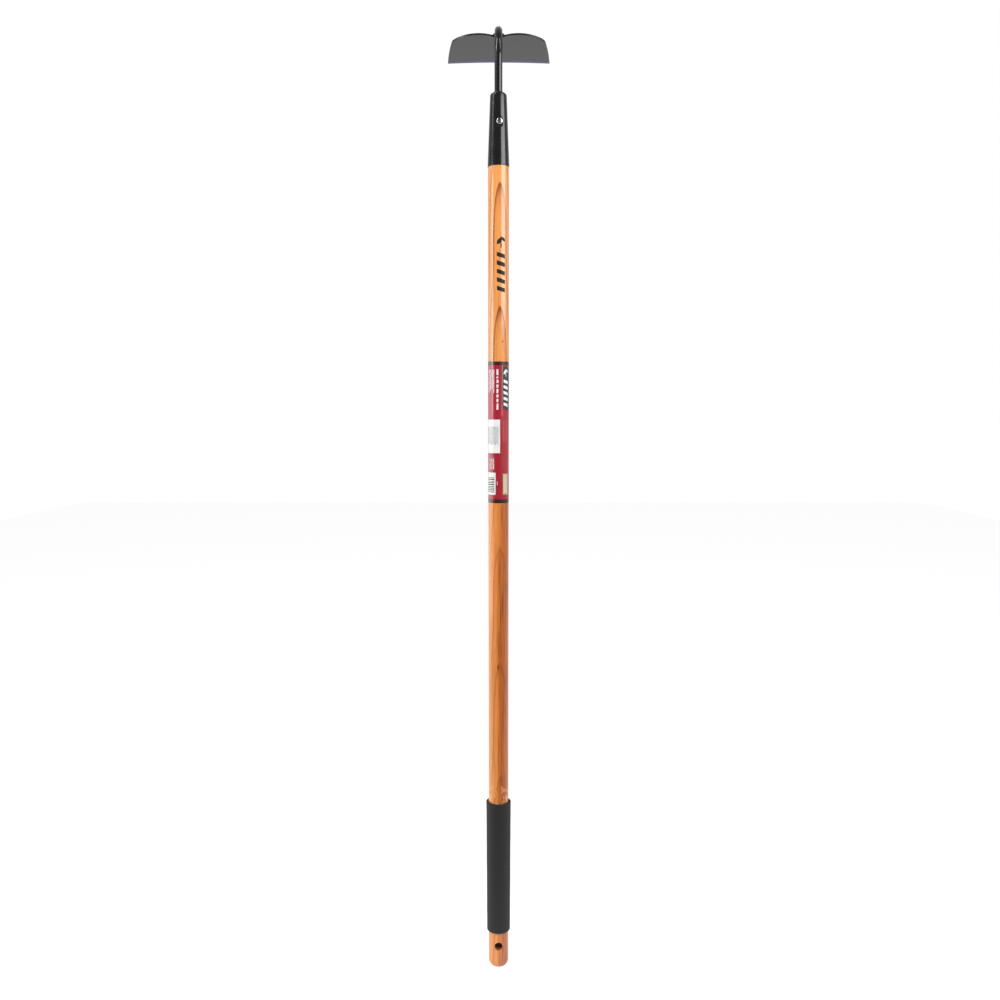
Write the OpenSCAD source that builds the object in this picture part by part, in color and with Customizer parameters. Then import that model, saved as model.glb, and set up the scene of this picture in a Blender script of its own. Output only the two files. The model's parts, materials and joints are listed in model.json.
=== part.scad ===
// Draw hoe: a blade welded to a bent steel neck, in a steel socket on a straight wood pole.
// Millimetres. The origin is the centre of the hang hole, on the pole's axis. +Z runs up the pole to the
// head, +Y is the way the blade reaches, and the screw's head is on the -Y side.

/* [Pole] */
// Diameter of the wood pole
pole_d = 30.5; // [29:0.5:33]
// Length of wood from the butt to the mouth of the socket
pole_len = 1216.2; // [950:0.1:1400]
// Height of the hang hole's centre above the butt
hang_h = 36.7; // [30:0.1:50]
// Diameter of the hang hole
hang_d = 12; // [8:0.5:14]
// Radius of the butt's rounded edge
butt_r = 10.5; // [3:0.5:12]

/* [Foam grip] */
// Height of the grip's lower end above the hang hole's centre
grip_z = 21.5; // [15:0.5:60]
// Length of the grip
grip_len = 206; // [120:0.5:260]
// Outer diameter at the lower end
grip_d_low = 35.5; // [34:0.1:40]
// Outer diameter below the lip
grip_d_high = 37.6; // [34:0.1:42]
// How far the lip at the upper end stands out
grip_lip = 0.2; // [0.2:0.1:1]
// Radius of the grip's rounded ends
grip_edge_r = 1.6; // [0.5:0.1:1.7]

/* [Label] */
// Height of the label's lower edge above the hang hole's centre
label_z = 689; // [400:1:700]
// Length of the label along the pole
label_len = 209; // [100:1:220]
// Thickness of the label
label_t = 0.15; // [0.1:0.05:0.3]

/* [Socket] */
// Length of the socket
socket_len = 104.1; // [90:0.1:130]
// Outer diameter at the mouth's rim
socket_d_rim = 31.6; // [30:0.1:34]
// Outer diameter just above the rim's flare
socket_d_low = 30.9; // [28:0.1:33]
// Outer diameter below the rounded nose
socket_d_high = 24.2; // [20:0.1:25]
// Height of the rim's flare
flare_h = 9; // [4:0.5:15]
// Radius of the rounded nose
nose_r = 4; // [2:0.5:5]
// Wall thickness of the socket
socket_wall = 1.8; // [1.5:0.1:2.2]
// Thickness of the closed nose
nose_t = 10; // [6:0.5:14]

/* [Screw] */
// Height of the screw above the socket's mouth
screw_h = 62; // [40:1:75]
// Turn of the screw's head towards +X
screw_turn = 8; // [-20:1:20]
// Diameter of the screw's head
head_d = 9.5; // [8:0.1:10.5]
// Height of the screw's head
head_h = 3; // [2:0.1:3.5]
// Diameter of the screw's shank
shank_d = 4.8; // [3.5:0.1:5.5]
// Length of the screw under its head
shank_len = 21; // [14:1:22]

/* [Neck] */
// Diameter of the neck's round bar
neck_d = 11.5; // [10:0.5:13]
// Height of the bend's start above the socket's nose
neck_rise = 53.3; // [30:0.1:70]
// Radius of the bend's centre line
bend_r = 50; // [40:1:60]
// Angle of the bend
bend_angle = 100; // [90:1:110]
// Length of the straight stretch that lies on the blade
seat_len = 28; // [15:1:35]
// Depth of the seat groove in the blade's outer face
seat_groove = 0.5; // [0.3:0.1:1]

/* [Blade] */
// Width of the blade along its cutting edge
blade_w = 158.8; // [140:0.1:180]
// Height of the blade at its two lobes
blade_h = 83.5; // [75:0.1:95]
// Thickness of the plate
blade_t = 3; // [2:0.1:4]
// Height of the blade where the neck's bend ends on it
seat_h = 67.5; // [55:0.1:70]
// Distance of each lobe's peak from the middle
lobe_x = 31; // [25:0.5:35]
// Radius of the lobes
lobe_r = 50; // [45:1:60]
// Radius of the upper corners
corner_r = 15; // [8:1:25]
// Radius of the bowed sides
side_r = 400; // [300:10:800]
// Lean of the sides at the cutting edge
side_lean = 3.8; // [1:0.1:5]
// How far the corners of the cutting edge come forward of its middle
dish = 1.8; // [0.5:0.1:4]
// Width of the bevel ground on the inner face
bevel_w = 8.5; // [4:0.5:12]
// Thickness left at the cutting edge
edge_t = 0.6; // [0.4:0.1:1.2]

/* [Welds] */
// Radius of the two beads between neck and blade
bead_r = 2.9; // [2.5:0.1:3.5]
// Radius of the bead around the neck at the socket's nose
ring_r = 2; // [1.5:0.1:2.5]

/* [Hidden] */
$fn = 96;
dish_fn = 1440;            // the dish is a small piece of a very large cylinder
gap = 0.03;                // clearance between pieces that touch
pole_r = pole_d / 2;
neck_r = neck_d / 2;
mouth_z = pole_len - hang_h;
nose_z = mouth_z + socket_len;
cavity_z = nose_z - nose_t;
bend_z = nose_z + neck_rise;
taper = (socket_d_low - socket_d_high) / 2 / (socket_len - flare_h - nose_r);
tail_len = 3;              // how far the neck's tail stands through the closed nose
tenon_gap = 7;             // how far the wood stops short of the closed nose
tenon_top = cavity_z - tenon_gap;
tail_z = cavity_z - tail_len;
tenon_lap = 1;             // how far the tenon starts inside the full pole
rim_h = 1.5;               // height of the socket's straight rim
lip_h = 12;                // length over which the grip's lip grows
bar_end_r = 1.5;           // rounding of the neck's cut end
seat_swell = 0.06;         // the forged seat is a hair thicker than the bend that runs into it
seat_lap = 0.5;            // how far the seat starts inside the bend
bead_side = 0.15;          // each bead's line lies this far outside the bar
bead_lift = 1;             // and this far above the blade's outer face
bead_start = 4;            // and starts this far from the bar's cut end
bead_stop = 1.4;           // and stops this far short of the blade's upper edge
ring_out = 0.3;            // the ring's line lies this far outside the bar
face_r = bend_r - neck_r + seat_groove - blade_t;  // from the bend's centre to the blade's inner face
dish_r = (pow(blade_w / 2, 2) + dish * dish) / (2 * dish);
screw_z = mouth_z + screw_h;
screw_sink = 0.95;         // the flat under the screw's head lies this far inside the socket's skin
screw_y = socket_r(screw_z) - screw_sink;  // from the pole's axis to the flat under the screw's head
shank_r = shank_d / 2;
shank_tip_r = 0.3;         // radius of the shank's blunt point
head_round_r = 2;          // rounding of the screw's head
dimple_flat = 0.5;         // the dimple's floor reaches this far past the head
dimple_reach = 4;          // and its mouth this far
dimple_h = 2;
clear_wall = 0.15;         // clearance round the shank in the socket's wall
clear_wood = 0.02;         // clearance round the shank in the wood
recess_w = 1.2;            // width of each slot of the cross recess
recess_len = 5.4;
recess_depth = 1.7;
recess_turn = 20;          // turn of the recess in the head
corner_steps = 16;         // steps of the blade's corner arcs
lobe_steps = 36;
side_steps = 10;
nose_steps = 12;
edge_steps = 8;

// Outer radius of the socket's straight taper at height z.
function socket_r(z) = socket_d_low / 2 - taper * (z - mouth_z - flare_h);

// Direction of vector v in degrees.
function heading(v) = atan2(v.y, v.x);

// Points on an arc from angle a to angle b.
function arc(centre, r, a, b, n) =
    [for (i = [0:n]) let (t = a + (b - a) * i / n) centre + r * [cos(t), sin(t)]];

// Where circle (p, r) meets circle (q, s), taking the point to the right of the way from p to q.
function meet(p, r, q, s) =
    let (d = norm(q - p), along = (r * r - s * s + d * d) / (2 * d), u = (q - p) / d)
    p + along * u + sqrt(r * r - along * along) * [u.y, -u.x];

// The right half of the blade's outline: a bowed side, a corner and a lobe, each tangent to the next.
lobe_c = [lobe_x, blade_h - lobe_r];
side_c = [blade_w / 2, 0] - side_r * [cos(side_lean), sin(side_lean)];
corner_c = meet(lobe_c, lobe_r - corner_r, side_c, side_r - corner_r);
side_top = heading(corner_c - side_c);
lobe_start = heading(corner_c - lobe_c);
lobe_stop = acos((neck_r - lobe_x) / lobe_r);
half_outline = concat(
    arc(side_c, side_r, side_lean, side_top, side_steps),
    arc(corner_c, corner_r, side_top, lobe_start, corner_steps),
    arc(lobe_c, lobe_r, lobe_start, lobe_stop, lobe_steps));
mirrored_outline = [for (i = [len(half_outline) - 1:-1:0]) [-half_outline[i].x, half_outline[i].y]];

// A round bar of radius r and height h, with its upper rim rounded to radius e.
module round_bar(r, h, e) {
    rotate_extrude() {
        square([r, h - e]);
        square([r - e, h]);
        intersection() {
            translate([r - e, h - e]) circle(e);
            square([r, h]);
        }
    }
}

// Puts a shape in the bend's frame: its centre at the origin, the bend from +X towards +Y.
module in_bend() {
    translate([0, bend_r, bend_z]) rotate([90, 0, -90]) children();
}

// Puts a shape in the blade's frame: X across, Y up from the cutting edge, +Z out of the inner face.
module on_blade() {
    translate([0, bend_r, bend_z]) rotate([270 - bend_angle, 0, 0])
        translate([0, -seat_h, -face_r]) children();
}

// Puts a shape in the screw's frame: +Z out through the head, from the flat that the head sits on.
module at_screw() {
    translate([0, 0, screw_z]) rotate([90, 0, screw_turn]) translate([0, 0, screw_y]) children();
}

// The neck's whole bar, its tail, rise, bend and seat, grown by g all round.
module neck_bar(g = 0) {
    translate([0, 0, tail_z]) cylinder(r = neck_r + g, h = bend_z - tail_z);
    in_bend() rotate_extrude(angle = bend_angle) translate([bend_r, 0]) circle(neck_r + g);
    in_bend() rotate([0, 0, bend_angle]) translate([bend_r, -seat_lap, 0]) rotate([-90, 0, 0])
        round_bar(neck_r + seat_swell + g, seat_len + seat_lap + g, bar_end_r);
}

module blade() {
    color("dimgray") difference() {
        on_blade() difference() {
            intersection() {
                translate([0, 0, -2 * blade_t]) linear_extrude(3 * blade_t + dish)
                    polygon(concat(half_outline, mirrored_outline));
                translate([0, 0, dish_r]) rotate([-90, 0, 0])
                    cylinder(r = dish_r + blade_t, h = blade_h, $fn = dish_fn);
            }
            translate([0, -1, dish_r]) rotate([-90, 0, 0]) {
                cylinder(r = dish_r, h = blade_h + 2, $fn = dish_fn);
                translate([0, 0, 1])
                    cylinder(r1 = dish_r + blade_t - edge_t, r2 = dish_r, h = bevel_w, $fn = dish_fn);
            }
        }
        neck_bar(gap);
    }
}

module gooseneck() {
    color([0.13, 0.13, 0.12]) neck_bar();
}

module blade_weld() {
    bead_x = neck_r + bead_side;
    bead_z = -blade_t - bead_lift;
    bead_low = seat_h - seat_len + bead_start;
    blade_top = lobe_c.y + sqrt(pow(lobe_r, 2) - pow(lobe_x - neck_r, 2));
    bead_len = blade_top - bead_stop - bead_low;
    color([0.1, 0.1, 0.1]) difference() {
        on_blade() for (side = [-1, 1]) translate([side * bead_x, bead_low, bead_z]) {
            rotate([-90, 0, 0]) cylinder(r = bead_r, h = bead_len);
            sphere(bead_r);
            translate([0, bead_len, 0]) sphere(bead_r);
        }
        neck_bar(gap);
        on_blade() translate([-blade_w / 2, 0, -blade_t - gap]) cube([blade_w, blade_h, 2 * blade_t]);
    }
}

module socket() {
    low = [socket_d_low / 2, mouth_z + flare_h];
    high = [socket_d_high / 2, nose_z - nose_r];
    wall = [socket_wall, 0];
    color([0.15, 0.15, 0.16]) difference() {
        rotate_extrude() polygon(concat(
            [[socket_r(mouth_z), mouth_z] - wall, [socket_d_rim / 2, mouth_z],
             [socket_d_rim / 2, mouth_z + rim_h], low],
            arc(high - [nose_r, 0], nose_r, 0, 90, nose_steps),
            [[neck_r + gap, nose_z], [neck_r + gap, cavity_z], [socket_r(cavity_z), cavity_z] - wall]));
        at_screw() {
            cylinder(r1 = head_d / 2 + dimple_flat, r2 = head_d / 2 + dimple_reach, h = dimple_h);
            translate([0, 0, -shank_len]) cylinder(r = shank_r + clear_wall, h = shank_len + 1);
        }
    }
}

module neck_weld() {
    color([0.12, 0.12, 0.12]) difference() {
        translate([0, 0, nose_z]) rotate_extrude() translate([neck_r + ring_out, 0]) circle(ring_r);
        translate([0, 0, nose_z - 2 * ring_r]) cylinder(r = neck_r + gap, h = 4 * ring_r);
        translate([0, 0, nose_z + gap - 2 * ring_r]) cylinder(r = socket_d_low, h = 2 * ring_r);
    }
}

module socket_screw() {
    color("silver") at_screw() {
        difference() {
            round_bar(head_d / 2, head_h, head_round_r);
            for (turn = [0, 90]) rotate([0, 0, turn + recess_turn])
                translate([-recess_len / 2, -recess_w / 2, head_h - recess_depth])
                    cube([recess_len, recess_w, 2 * recess_depth]);
        }
        translate([0, 0, -shank_len]) {
            translate([0, 0, shank_d]) cylinder(r = shank_r, h = shank_len - shank_d);
            cylinder(r1 = shank_tip_r, r2 = shank_r, h = shank_d);
        }
    }
}

module pole() {
    tenon_r = socket_r(mouth_z) - socket_wall - gap;
    color([0.82, 0.52, 0.3]) difference() {
        union() {
            translate([0, 0, mouth_z - gap]) mirror([0, 0, 1]) round_bar(pole_r, pole_len - gap, butt_r);
            translate([0, 0, mouth_z - tenon_lap]) cylinder(
                r1 = tenon_r + taper * tenon_lap, r2 = tenon_r - taper * (tenon_top - mouth_z),
                h = tenon_top - mouth_z + tenon_lap);
        }
        rotate([90, 0, 0]) cylinder(r = hang_d / 2, h = 2 * pole_d, center = true);
        at_screw() translate([0, 0, -shank_len - 1]) cylinder(r = shank_r + clear_wood, h = shank_len + 1);
    }
}

module foam_grip() {
    low = [grip_d_low / 2, 0];
    high = [grip_d_high / 2, grip_len];
    lip = [grip_lip, 0];
    color([0.17, 0.17, 0.17]) translate([0, 0, grip_z]) rotate_extrude() polygon(concat(
        [[pole_r + gap, 0]],
        arc(low + [-grip_edge_r, grip_edge_r], grip_edge_r, -90, 0, edge_steps),
        [high - [0, lip_h]],
        arc(high + lip - [grip_edge_r, grip_edge_r], grip_edge_r, 0, 90, edge_steps),
        [[pole_r + gap, grip_len]]));
}

module label() {
    color([0.65, 0.13, 0.17]) translate([0, 0, label_z]) difference() {
        cylinder(r = pole_r + gap + label_t, h = label_len);
        translate([0, 0, -1]) cylinder(r = pole_r + gap, h = label_len + 2);
    }
}

blade();
gooseneck();
blade_weld();
socket();
neck_weld();
socket_screw();
pole();
foam_grip();
label();
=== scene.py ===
"""The looks of a draw hoe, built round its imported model.

Every mesh is made in metres in the model's own frame: the origin is the hang hole's centre, +Z runs up the
pole to the head, and +Y is the way the blade reaches.
"""

import json
import logging
import math
from collections.abc import Callable, Sequence
from dataclasses import dataclass, field
from enum import Enum

import bmesh
import bpy
from mathutils import Matrix, Vector, noise


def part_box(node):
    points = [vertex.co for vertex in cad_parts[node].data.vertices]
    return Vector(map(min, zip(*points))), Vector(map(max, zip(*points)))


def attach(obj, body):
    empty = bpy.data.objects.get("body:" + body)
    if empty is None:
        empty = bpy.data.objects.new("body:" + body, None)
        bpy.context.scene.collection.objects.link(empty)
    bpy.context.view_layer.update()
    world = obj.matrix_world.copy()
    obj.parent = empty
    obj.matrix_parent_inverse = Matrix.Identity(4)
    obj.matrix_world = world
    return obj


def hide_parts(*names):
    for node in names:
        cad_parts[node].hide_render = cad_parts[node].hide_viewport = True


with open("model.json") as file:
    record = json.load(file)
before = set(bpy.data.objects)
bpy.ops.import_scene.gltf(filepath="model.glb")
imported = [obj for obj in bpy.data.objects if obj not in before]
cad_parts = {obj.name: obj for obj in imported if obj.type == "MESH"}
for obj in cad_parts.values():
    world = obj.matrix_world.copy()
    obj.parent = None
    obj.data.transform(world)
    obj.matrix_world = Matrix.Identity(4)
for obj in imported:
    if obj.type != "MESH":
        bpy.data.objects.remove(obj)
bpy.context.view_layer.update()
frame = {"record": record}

LOG = logging.getLogger("draw_hoe")
BODY = "root"
MM = 0.001

Point = tuple[float, float]
Triple = tuple[float, float, float]
Colour = tuple[float, float, float, float]
Socket = bpy.types.NodeSocket
Tree = bpy.types.ShaderNodeTree
Look = dict[str | int, Socket | Triple | Colour | float]


# ---------------------------------------------------------------------------------------------- finishes


def linear(hex_colour: str, factor: float = 1.0) -> Colour:
    """Turns an sRGB hex colour into a linear one.

    Args:
        hex_colour: Six hex digits, such as "b4783c".
        factor: How many times lighter the colour is made, as far as full white.

    Returns:
        Linear red, green and blue, with alpha 1.
    """
    parts = [int(hex_colour[i : i + 2], 16) / 255 for i in (0, 2, 4)]
    red, green, blue = (p / 12.92 if p <= 0.04045 else ((p + 0.055) / 1.055) ** 2.4 for p in parts)
    return (min(1.0, red * factor), min(1.0, green * factor), min(1.0, blue * factor), 1.0)


def grey(value: float) -> Colour:
    """A neutral linear colour."""
    return (value, value, value, 1.0)


def connect(tree: Tree, node: bpy.types.ShaderNode, inputs: Look) -> None:
    """Sets or links a node's inputs.

    Args:
        tree: The node's tree.
        node: The node.
        inputs: Input name or number to a value, or to the output socket that feeds it.
    """
    for key, value in inputs.items():
        if isinstance(value, bpy.types.NodeSocket):
            tree.links.new(value, node.inputs[key])
        else:
            node.inputs[key].default_value = value


def add(tree: Tree, kind: str, inputs: Look | Sequence = (), out: int | str = 0,
        **settings: object) -> Socket:
    """Adds a node with its settings, values and links.

    Args:
        tree: The tree that the node joins.
        kind: The node's type, without its "ShaderNode" prefix.
        inputs: Values, or the output sockets that feed them, in order or by input name or number.
        out: The name or number of the output that is wanted.
        settings: The node's own attributes.

    Returns:
        The output that is wanted.
    """
    node = tree.nodes.new("ShaderNode" + kind)
    for name, value in settings.items():
        setattr(node, name, value)
    connect(tree, node, inputs if isinstance(inputs, dict) else dict(enumerate(inputs)))
    return node.outputs[out]


def place_mm(tree: Tree, squeeze: Triple = (1, 1, 1)) -> Socket:
    """The surface's place in the piece's own frame, in millimetres, with each axis multiplied."""
    coords = add(tree, "TexCoord", out="Object")
    return add(tree, "VectorMath", (coords, tuple(s / MM for s in squeeze)), operation="MULTIPLY")


def grain(tree: Tree, size: float, squeeze: Triple = (1, 1, 1), detail: float = 3.0,
          rough: float = 0.5) -> Socket:
    """Lays a pattern of soft patches over the piece, at their real size.

    Args:
        tree: The material's tree.
        size: How far across the patches are, in millimetres.
        squeeze: How much each axis is multiplied by, below 1 to draw the patches out along it.
        detail: How many finer layers the pattern has.
        rough: How strongly the finer layers show.

    Returns:
        The pattern, from 0 to 1.
    """
    inputs = {"Vector": place_mm(tree, squeeze), "Scale": 1 / size, "Detail": detail, "Roughness": rough}
    return add(tree, "TexNoise", inputs)


def layered(tree: Tree, ground: Socket | Colour, *coats: tuple) -> Socket:
    """Lays coats of colour over a ground, one after another.

    Args:
        tree: The material's tree.
        ground: The colour underneath.
        coats: Each coat's share, its colour and, if it isn't a plain mix, how it blends.

    Returns:
        The finished colour.
    """
    for share, tint, *blend in coats:
        inputs = {0: share, 6: ground, 7: tint}
        ground = add(tree, "Mix", inputs, 2, data_type="RGBA", blend_type=(*blend, "MIX")[0])
    return ground


def over_relief(tree: Tree, colour: Socket, height: Socket, depth: float, strength: float) -> Look:
    """Gives a colour its relief.

    Args:
        tree: The material's tree.
        colour: The surface's colour.
        height: The relief, from 0 to 1.
        depth: How far height 1 stands proud, in millimetres.
        strength: How strongly the relief shows.

    Returns:
        What feeds the shader.
    """
    normal = add(tree, "Bump", {"Height": height, "Distance": depth * MM, "Strength": strength})
    return {"Base Color": colour, "Normal": normal}


@dataclass(frozen=True)
class Finish:
    """A surface finish. Each kind of finish has its own colour, roughness and relief."""

    name: str
    roughness: float = 0.5
    coat: float = 0.0
    coat_roughness: float = 0.1
    metallic: float = 0.0

    def look(self, tree: Tree) -> Look:
        """What feeds the shader's inputs, by name, from the finish's own nodes in the tree."""
        return {}

    def build(self) -> bpy.types.Material:
        """Makes the material, once for each name.

        Returns:
            The finish as a node material.
        """
        known = bpy.data.materials.get(self.name)
        if known:
            return known
        material = bpy.data.materials.new(self.name)
        material.use_nodes = True
        tree = material.node_tree
        shader = tree.nodes["Principled BSDF"]
        connect(tree, shader, {"Roughness": self.roughness, "Metallic": self.metallic,
                               "Coat Weight": self.coat, "Coat Roughness": self.coat_roughness})
        connect(tree, shader, self.look(tree))
        return material


@dataclass(frozen=True)
class Fleck:
    """A pin knot or mineral fleck on the pole's face, in millimetres across and up from the hang hole."""

    across: float
    up: float
    wide: float
    tall: float


@dataclass(frozen=True)
class LacqueredAsh(Finish):
    """Turned ash under clear lacquer, with its lengths in millimetres.

    The growth layers are cones round a pith well off the pole's axis, so their dark open-pored edges draw
    tall pointed arches on the face and straight lines on the sides. Below the middle of the pole the wood
    turns redder, and there a deep red-brown painted shade darkens the right of the face.
    """

    pale: str = "db9653"
    warm: str = "d67d30"
    # A deep red-brown that paints shade on the right of the lower face.
    shade_red: str = "a04a08"
    dark: str = "7a350a"
    fleck_colour: str = "4a2410"
    residue: str = "e8b36a"
    ring: float = 5.66
    ring_start: float = -2.4
    pith: Point = (-8.0, 46.0)
    lean: float = 0.032
    arch_top: float = 1153.0
    swell: float = 0.9
    # Each layer opens with a dark porous line, reddens for a few millimetres and pales towards the next.
    # These are places within a layer and how dark it is there.
    layer: tuple[Point, ...] = (
        (0.0, 0.85), (0.05, 1.0), (0.11, 0.6), (0.2, 0.2), (0.45, 0.02), (0.98, 0.0), (1.0, 0.7))
    # The layers wander slowly and quiver finely: each is a size of patch and how far it moves them.
    wander: tuple[Point, ...] = ((12.0, 1.3), (2.2, 0.5))
    # Where the wood turns redder, and where the painted shade on the right of the face starts and ends, in
    # millimetres.
    redder_full: float = 640.0
    redder_start: float = 900.0
    shade_left: float = -5.0
    shade_right: float = 7.0
    shade_sway: float = 14.0
    grip_top: float = 227.5
    residue_faint: float = 34.0
    residue_full: float = 26.0
    pore_depth: float = 0.012
    flecks: tuple[Fleck, ...] = ()

    def rings(self, tree: Tree) -> Socket:
        """Draws the growth layers.

        Args:
            tree: The material's tree.

        Returns:
            How dark the place in its layer makes the wood, from 0 to 1.
        """
        place = place_mm(tree)
        off_pith = add(tree, "VectorMath", (place, (*self.pith, 0.0)), operation="SUBTRACT")
        flat = add(tree, "VectorMath", (off_pith, (1, 1, 0)), operation="MULTIPLY")
        radius = add(tree, "VectorMath", (flat,), "Value", operation="LENGTH")
        up = add(tree, "SeparateXYZ", (place,), "Z")
        depth = add(tree, "Math", (radius, self.ring_start), operation="ADD")
        depth = add(tree, "Math", (up, -self.lean, depth), operation="MULTIPLY_ADD")
        # The trunk swelled a little once in each arch's length, which blunts the arches' tips.
        down = add(tree, "Math", (self.arch_top, up), operation="SUBTRACT")
        turns = add(tree, "Math", (down, math.tau * self.lean / self.ring), operation="MULTIPLY")
        wave = add(tree, "Math", (turns,), operation="SINE")
        depth = add(tree, "Math", (wave, self.swell, depth), operation="MULTIPLY_ADD")
        for size, reach in self.wander:
            stray = grain(tree, size, (1, 1, 0.045), 2)
            stray = add(tree, "Math", (stray, reach, -reach / 2), operation="MULTIPLY_ADD")
            depth = add(tree, "Math", (depth, stray), operation="ADD")
        share = add(tree, "Math", (depth, self.ring), operation="DIVIDE")
        within = add(tree, "Math", (share,), operation="FRACT")
        darkness = add(tree, "ValToRGB", (within,))
        stops = darkness.node.color_ramp.elements
        for place_in_layer, dark in self.layer[1:-1]:
            stops.new(place_in_layer).color = grey(dark)
        stops[0].color, stops[-1].color = grey(self.layer[0][1]), grey(self.layer[-1][1])
        return darkness

    def redder_stretch_and_shade(self, tree: Tree) -> tuple[Socket, Socket]:
        """Spreads the redder lower stretch and the painted shade on its right side.

        Args:
            tree: The material's tree.

        Returns:
            How far down the redder stretch a point lies, and how deep in the painted shade on its right
            side.
        """
        place = add(tree, "SeparateXYZ", (place_mm(tree),)).node.outputs
        low = add(tree, "MapRange", (place["Z"], self.redder_start, self.redder_full),
                  interpolation_type="SMOOTHSTEP")
        sway = add(tree, "Math", (grain(tree, 9.0, (1, 1, 0.03)), self.shade_sway, -self.shade_sway / 2),
                   operation="MULTIPLY_ADD")
        across = add(tree, "Math", (place["X"], sway), operation="ADD")
        # Painted shade: the right of the face is darkened, as if lit from the left.
        right = add(tree, "MapRange", (across, self.shade_left, self.shade_right),
                    interpolation_type="SMOOTHSTEP")
        return low, add(tree, "Math", (right, low), operation="MULTIPLY")

    def fleck_mask(self, tree: Tree) -> Socket:
        """Places the flecks on the face.

        Args:
            tree: The material's tree.

        Returns:
            How much of a fleck shows at each point.
        """
        mask: Socket | float = 0.0
        place = place_mm(tree)
        for fleck in self.flecks:
            off = add(tree, "VectorMath", (place, (fleck.across, 0.0, fleck.up)), operation="SUBTRACT")
            reach = (2 / fleck.wide, 0.0, 2 / fleck.tall)
            scaled = add(tree, "VectorMath", (off, reach), operation="MULTIPLY")
            far = add(tree, "VectorMath", (scaled,), "Value", operation="LENGTH")
            near = add(tree, "MapRange", (far, 1.15, 0.55))
            mask = add(tree, "Math", (mask, near), operation="MAXIMUM")
        back = add(tree, "SeparateXYZ", (place,), "Y")
        front = add(tree, "Math", (back, 0.0), operation="LESS_THAN")
        return add(tree, "Math", (mask, front), operation="MULTIPLY")

    def residue_mask(self, tree: Tree) -> Socket:
        """Mottles the lacquer where dried adhesive has crept out of the grip.

        Args:
            tree: The material's tree.

        Returns:
            How much adhesive lies at each point.
        """
        up = add(tree, "SeparateXYZ", (place_mm(tree),), "Z")
        ends = (self.grip_top + self.residue_faint, self.grip_top + self.residue_full)
        band = add(tree, "MapRange", (up, *ends))
        spots = add(tree, "MapRange", (grain(tree, 4.5, (1, 1, 0.6), rough=0.6), 0.5, 0.58))
        above = add(tree, "Math", (up, self.grip_top - 10), operation="GREATER_THAN")
        shown = add(tree, "Math", (band, above), operation="MULTIPLY")
        return add(tree, "Math", (shown, spots), operation="MULTIPLY")

    def look(self, tree: Tree) -> Look:
        """Colours the wood and sinks its pores a little under the lacquer.

        Args:
            tree: The material's tree.

        Returns:
            What feeds the shader.
        """
        low, right = self.redder_stretch_and_shade(tree)
        patchy = grain(tree, 8.0, (1, 1, 0.012), 2)
        faint = add(tree, "MapRange", (patchy, 0.3, 0.62, 0.75, 1.0))
        shown = add(tree, "Math", (low, -0.5, 0.95), operation="MULTIPLY_ADD")
        shown = add(tree, "Math", (faint, shown), operation="MULTIPLY")
        arches = add(tree, "Math", (self.rings(tree), shown), operation="MULTIPLY")
        # Fibres about a third of a millimetre wide run along the pole for 20 mm or more.
        fibre = grain(tree, 0.36, (1, 1, 0.016), rough=0.6)
        contrast = add(tree, "MapRange", (fibre, 0.3, 0.7, 0.38, 0.62))
        # Bundles of darker pores run beside each other for 60 mm and more.
        streak = add(tree, "MapRange", (grain(tree, 1.3, (1, 1, 0.02), 4, 0.62), 0.5, 0.62))
        # Streaks show most on the right, where the painted shade lies.
        deep = add(tree, "Math", (right, 0.7, 0.3), operation="MULTIPLY_ADD")
        streaks = add(tree, "Math", (streak, deep), operation="MULTIPLY")
        warmth = add(tree, "Math", (patchy, 0.6), operation="MULTIPLY")
        warmth = add(tree, "Math", (low, 0.42, warmth), operation="MULTIPLY_ADD")
        # Painted shade: the right of the lower face is darkened towards a deep red-brown.
        right_shade = add(tree, "Math", (right, 0.8), operation="MULTIPLY")
        adhesive = add(tree, "Math", (self.residue_mask(tree), 0.45), operation="MULTIPLY")
        colour = layered(
            tree, linear(self.pale), (warmth, linear(self.warm)), (right_shade, linear(self.shade_red)),
            (arches, linear(self.dark)), (streaks, linear(self.dark)), (0.5, contrast, "OVERLAY"),
            (adhesive, linear(self.residue)), (self.fleck_mask(tree), linear(self.fleck_colour)))
        pores = add(tree, "Math", (fibre, streak), operation="SUBTRACT")
        return over_relief(tree, colour, pores, self.pore_depth, 0.4)


@dataclass(frozen=True)
class DrilledWood(Finish):
    """The hang hole's wall: bare end grain, painted a darker brown than the face as shade inside the hole,
    and rough under no lacquer.
    """

    colour: str = "a5642f"
    # A darker brown painted as shade inside the hole.
    hole_shade: str = "5c2f14"

    def look(self, tree: Tree) -> Look:
        """Darkens the wall in patches of painted shade and leaves the drill's fine scratches.

        Args:
            tree: The material's tree.

        Returns:
            What feeds the shader.
        """
        patches = grain(tree, 2.5, rough=0.6)
        # Painted shade: the wall is darkened in patches for the shade inside the hole.
        colour = layered(tree, linear(self.colour), (patches, linear(self.hole_shade)))
        scratches = grain(tree, 0.5, (1, 0.15, 1), 2)
        return over_relief(tree, colour, scratches, 0.08, 0.6)


@dataclass(frozen=True)
class CoatedSteel(Finish):
    """Black baked enamel on steel: a smooth dark coat with a faint orange peel that softens its shine."""

    colour: str = "121213"
    cloud: float = 14.0
    peel: float = 3.0
    peel_depth: float = 0.01

    def look(self, tree: Tree) -> Look:
        """Adds the coat's slight cloudiness and its orange peel.

        Args:
            tree: The material's tree.

        Returns:
            What feeds the shader.
        """
        cloud = grain(tree, self.cloud)
        colour = layered(tree, linear(self.colour), (cloud, linear(self.colour, 1.5)))
        dullness = (self.roughness * 0.85, self.roughness * 1.2)
        relief = over_relief(tree, colour, grain(tree, self.peel, detail=2), self.peel_depth, 0.6)
        return {**relief, "Roughness": add(tree, "MapRange", (cloud, 0.3, 0.7, *dullness))}


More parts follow.
